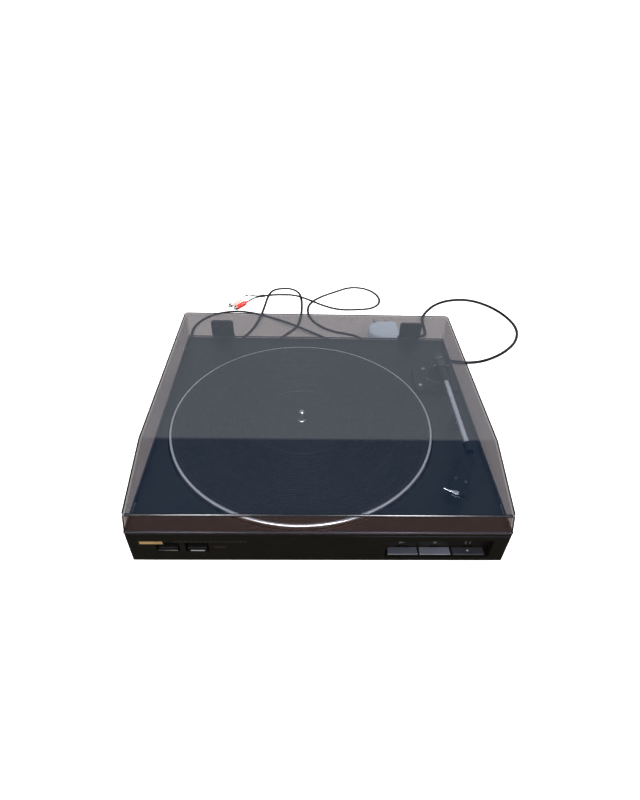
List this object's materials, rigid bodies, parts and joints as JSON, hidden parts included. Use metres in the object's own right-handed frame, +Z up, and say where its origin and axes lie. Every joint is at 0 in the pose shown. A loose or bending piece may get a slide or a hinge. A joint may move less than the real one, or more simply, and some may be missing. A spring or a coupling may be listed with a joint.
{
  "type": "turntable record player",
  "caption": "Low black automatic record player with a smoked hinged dust cover, rimmed platter, straight tonearm, front keys, phono lead and mains cord.",
  "frame": {"origin": "on the surface the feet stand on, under the middle of the player without its cords", "axes": "+X to the right seen from the front, +Y to the back, +Z up"},
  "size_m": [0.5426, 0.587, 0.0942],
  "materials": {
    "smoked_cover": "smoked clear plastic, glossy",
    "clear_bumper": "soft clear rubber",
    "black_plastic": "fine-grained black moulding",
    "front_plastic": "satin black moulding",
    "board": "pressed fibre board, painted black",
    "steel": "bright zinc plated",
    "foot_plastic": "black moulding",
    "gold_mark": "printed gold foil",
    "platter_metal": "turned and polished rim",
    "mat_rubber": "ribbed black rubber",
    "belt_rubber": "ground rubber",
    "motor_steel": "plated can",
    "brass": "turned brass",
    "gear_plastic": "white acetal",
    "copper": "varnished winding on a steel core",
    "circuit": "green solder mask",
    "component": "black epoxy",
    "arm_silver": "satin anodised",
    "weight_metal": "black",
    "cartridge_plastic": "black",
    "stylus_red": "grey moulding",
    "key_plastic": "dark grey moulding",
    "cable_black": "flexible sheath",
    "white_plastic": "white moulding",
    "red_plastic": "red moulding",
    "plug_white": "white moulding"
  },
  "bodies": {
    "chassis": {"plinth": "black_plastic", "front_panel": "front_plastic", "bottom_cover": "board", "bottom_screws": "steel", "foot_front_left": "foot_plastic", "foot_front_right": "foot_plastic", "foot_back_left": "foot_plastic", "foot_back_right": "foot_plastic", "hinge_bracket_left": "black_plastic", "hinge_bracket_right": "black_plastic", "hinge_pins": "steel", "badge": "gold_mark", "spindle": "steel", "drive_belt": "belt_rubber", "motor": "motor_steel", "motor_grommets": "belt_rubber", "motor_screws": "steel", "cam_axle": "steel", "transformer": "copper", "circuit_board": "circuit", "board_components": "component", "tonearm_base": "black_plastic", "arm_rest": "black_plastic", "power_gland": "cable_black", "signal_gland": "cable_black", "signal_cable": "cable_black", "cable_collar": "cable_black", "white_lead": "cable_black", "red_lead": "cable_black", "white_plug": "white_plastic", "red_plug": "red_plastic", "power_cord": "cable_black", "mains_plug": "plug_white", "plug_pins": "steel"},
    "cover": {"dust_cover": "smoked_cover", "cover_bumpers": "clear_bumper", "hinge_leaf_left": "black_plastic", "hinge_leaf_right": "black_plastic"},
    "platter": {"platter": "platter_metal", "platter_mat": "mat_rubber"},
    "motor_rotor": {"motor_shaft": "steel", "motor_pulley": "brass"},
    "cam": {"cam_gear": "gear_plastic"},
    "arm_gimbal": {"arm_shaft": "steel", "gimbal_yoke": "black_plastic"},
    "tonearm": {"arm_tube": "arm_silver", "pivot_block": "black_plastic", "pivot_pin": "steel", "counterweight": "weight_metal", "headshell": "cartridge_plastic", "cartridge": "cartridge_plastic", "stylus": "stylus_red", "finger_lift": "arm_silver"},
    "lifter": {"arm_lifter": "weight_metal"},
    "start_key": {"start_key": "key_plastic"},
    "stop_key": {"stop_key": "key_plastic"},
    "lift_key": {"lift_key": "key_plastic"},
    "speed_button": {"speed_button": "black_plastic"},
    "size_button": {"size_button": "black_plastic"}
  },
  "joints": [
    {"name": "cover_hinge", "type": "hinge", "parent": "chassis", "child": "cover", "pos_m": [0, 0.1666, 0.05], "axis": [-1, 0, 0], "range_deg": [0, 62]},
    {"name": "platter_spin", "type": "hinge", "parent": "chassis", "child": "platter", "pos_m": [-0.019, -0.016, 0.05], "axis": [0, 0, 1], "continuous": true},
    {"name": "motor_spin", "type": "hinge", "parent": "chassis", "child": "motor_rotor", "pos_m": [-0.10244, 0.06744, 0.05], "axis": [0, 0, 1], "continuous": true},
    {"name": "cam_turn", "type": "hinge", "parent": "chassis", "child": "cam", "pos_m": [0.03446, 0.01124, 0.045], "axis": [0, 0, 1], "continuous": true},
    {"name": "arm_swing", "type": "hinge", "parent": "chassis", "child": "arm_gimbal", "pos_m": [0.1575, 0.074, 0.062], "axis": [0, 0, -1], "range_deg": [0, 41]},
    {"name": "arm_lift", "type": "hinge", "parent": "arm_gimbal", "child": "tonearm", "pos_m": [0.1575, 0.074, 0.07], "axis": [-1, 0, 0], "range_deg": [0, 1.4]},
    {"name": "lifter_rise", "type": "slide", "parent": "chassis", "child": "lifter", "axis": [0, 0, 1], "range_m": [0, 0.000753]},
    {"name": "start_key_press", "type": "slide", "parent": "chassis", "child": "start_key", "axis": [0, 0, -1], "range_m": [0, 0.002], "stiffness_N_per_m": 250, "springref_m": -0.001},
    {"name": "stop_key_press", "type": "slide", "parent": "chassis", "child": "stop_key", "axis": [0, 0, -1], "range_m": [0, 0.002], "stiffness_N_per_m": 250, "springref_m": -0.001},
    {"name": "lift_key_press", "type": "slide", "parent": "chassis", "child": "lift_key", "axis": [0, 0, -1], "range_m": [0, 0.002], "stiffness_N_per_m": 250, "springref_m": -0.001},
    {"name": "speed_button_press", "type": "slide", "parent": "chassis", "child": "speed_button", "axis": [0, 1, 0], "range_m": [0, 0.0025], "stiffness_N_per_m": 300, "springref_m": -0.001},
    {"name": "size_button_press", "type": "slide", "parent": "chassis", "child": "size_button", "axis": [0, 1, 0], "range_m": [0, 0.0025], "stiffness_N_per_m": 300, "springref_m": -0.001}
  ],
  "couplings": [
    {"joint": "motor_spin", "follows": "platter_spin", "ratio": 16.79},
    {"joint": "cam_turn", "follows": "platter_spin", "ratio": -0.2},
    {"joint": "lifter_rise", "follows": "arm_lift", "m_per_rad": 0.03}
  ]
}
